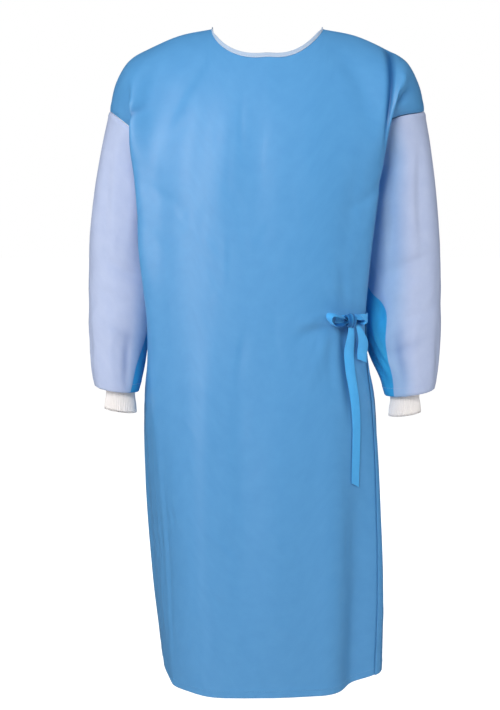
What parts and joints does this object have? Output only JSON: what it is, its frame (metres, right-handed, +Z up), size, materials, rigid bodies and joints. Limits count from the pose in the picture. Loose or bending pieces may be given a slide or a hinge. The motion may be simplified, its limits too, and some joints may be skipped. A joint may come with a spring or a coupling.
{
  "type": "surgical gown",
  "caption": "Wrap-around surgical gown in its worn, hollow shape: blue nonwoven body, paler long sleeves, white knit cuffs, bound round neck and a side bow tie.",
  "frame": {"origin": "midway between the neck ends of the two shoulder seams, where the wearer's shoulders carry the gown", "axes": "+Z up along the wearer, -Y the way the front faces, +X the wearer's left"},
  "size_m": [0.6545, 0.2964, 1.2019],
  "materials": {
    "body_nonwoven": "matt blue nonwoven",
    "sleeve_nonwoven": "matt pale lavender-blue nonwoven",
    "tie_nonwoven": "matt blue nonwoven strap",
    "white_knit": "white ribbed knit",
    "white_tape": "white binding tape"
  },
  "bodies": {
    "root": {"front": "body_nonwoven", "back_under": "body_nonwoven", "back_wrap": "body_nonwoven", "sleeve_right": "sleeve_nonwoven", "sleeve_left": "sleeve_nonwoven", "cuff_right": "white_knit", "cuff_left": "white_knit", "neck_binding": "white_tape", "neck_tab": "white_tape", "tie_front": "tie_nonwoven", "tie_wrap": "tie_nonwoven", "tie_knot": "tie_nonwoven", "bow_loop_right": "tie_nonwoven", "bow_loop_left": "tie_nonwoven", "tie_tail_right": "tie_nonwoven", "tie_tail_left": "tie_nonwoven"}
  },
  "joints": []
}
